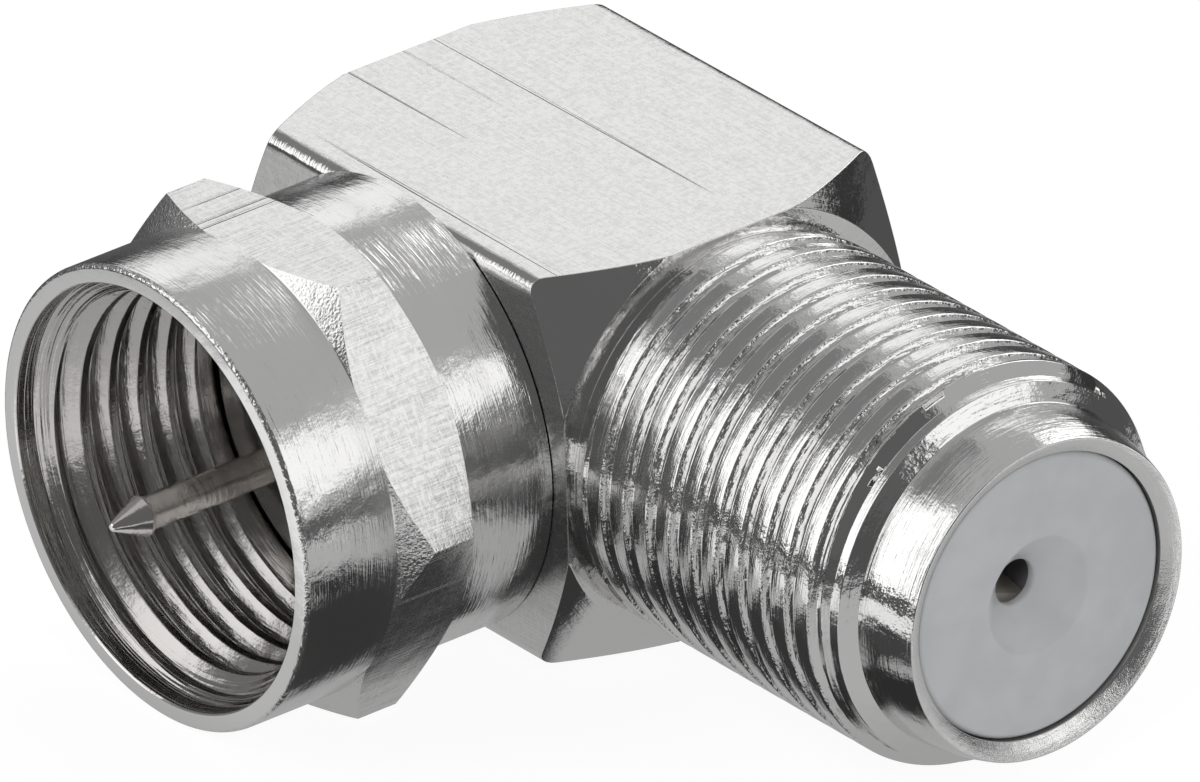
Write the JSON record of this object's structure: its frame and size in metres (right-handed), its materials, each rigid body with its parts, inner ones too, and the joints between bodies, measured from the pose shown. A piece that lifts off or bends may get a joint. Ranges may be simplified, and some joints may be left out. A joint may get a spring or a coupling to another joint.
{
  "type": "right-angle coaxial adapter",
  "caption": "Right-angle coaxial adapter with a spinning hexagon coupling nut and centre pin on one arm and a threaded jack with a white bush on the other.",
  "frame": {"origin": "middle of the square bar, where the jack axis and the plug axis cross", "axes": "+X along the jack axis, out of its mouth; -Y along the plug axis, out of its mouth; +Z square to both"},
  "size_m": [0.0225, 0.0177, 0.0108],
  "materials": {
    "block_plating": "bright nickel on brass, turned",
    "cap_plating": "bright nickel on brass, pressed",
    "nut_plating": "bright nickel on brass, turned",
    "post_plating": "bright nickel on brass, turned",
    "plug_plastic": "white moulded plastic",
    "pin_plating": "nickel on brass, turned",
    "rod_brass": "plain turned brass",
    "bead_plastic": "white moulded plastic",
    "clip_bronze": "tinned spring bronze",
    "jack_plastic": "white moulded plastic"
  },
  "bodies": {
    "elbow": {"elbow_block": "block_plating", "rear_cap": "cap_plating", "post": "post_plating", "plug_insulator": "plug_plastic", "centre_pin": "pin_plating", "contact_rod": "rod_brass", "rod_bead": "bead_plastic", "contact_clip": "clip_bronze", "jack_insulator": "jack_plastic"},
    "nut": {"coupling_nut": "nut_plating"}
  },
  "joints": [
    {"name": "nut_spin", "type": "hinge", "parent": "elbow", "child": "nut", "pos_m": [0, -0.00481, 0], "axis": [0, -1, 0], "continuous": true}
  ]
}
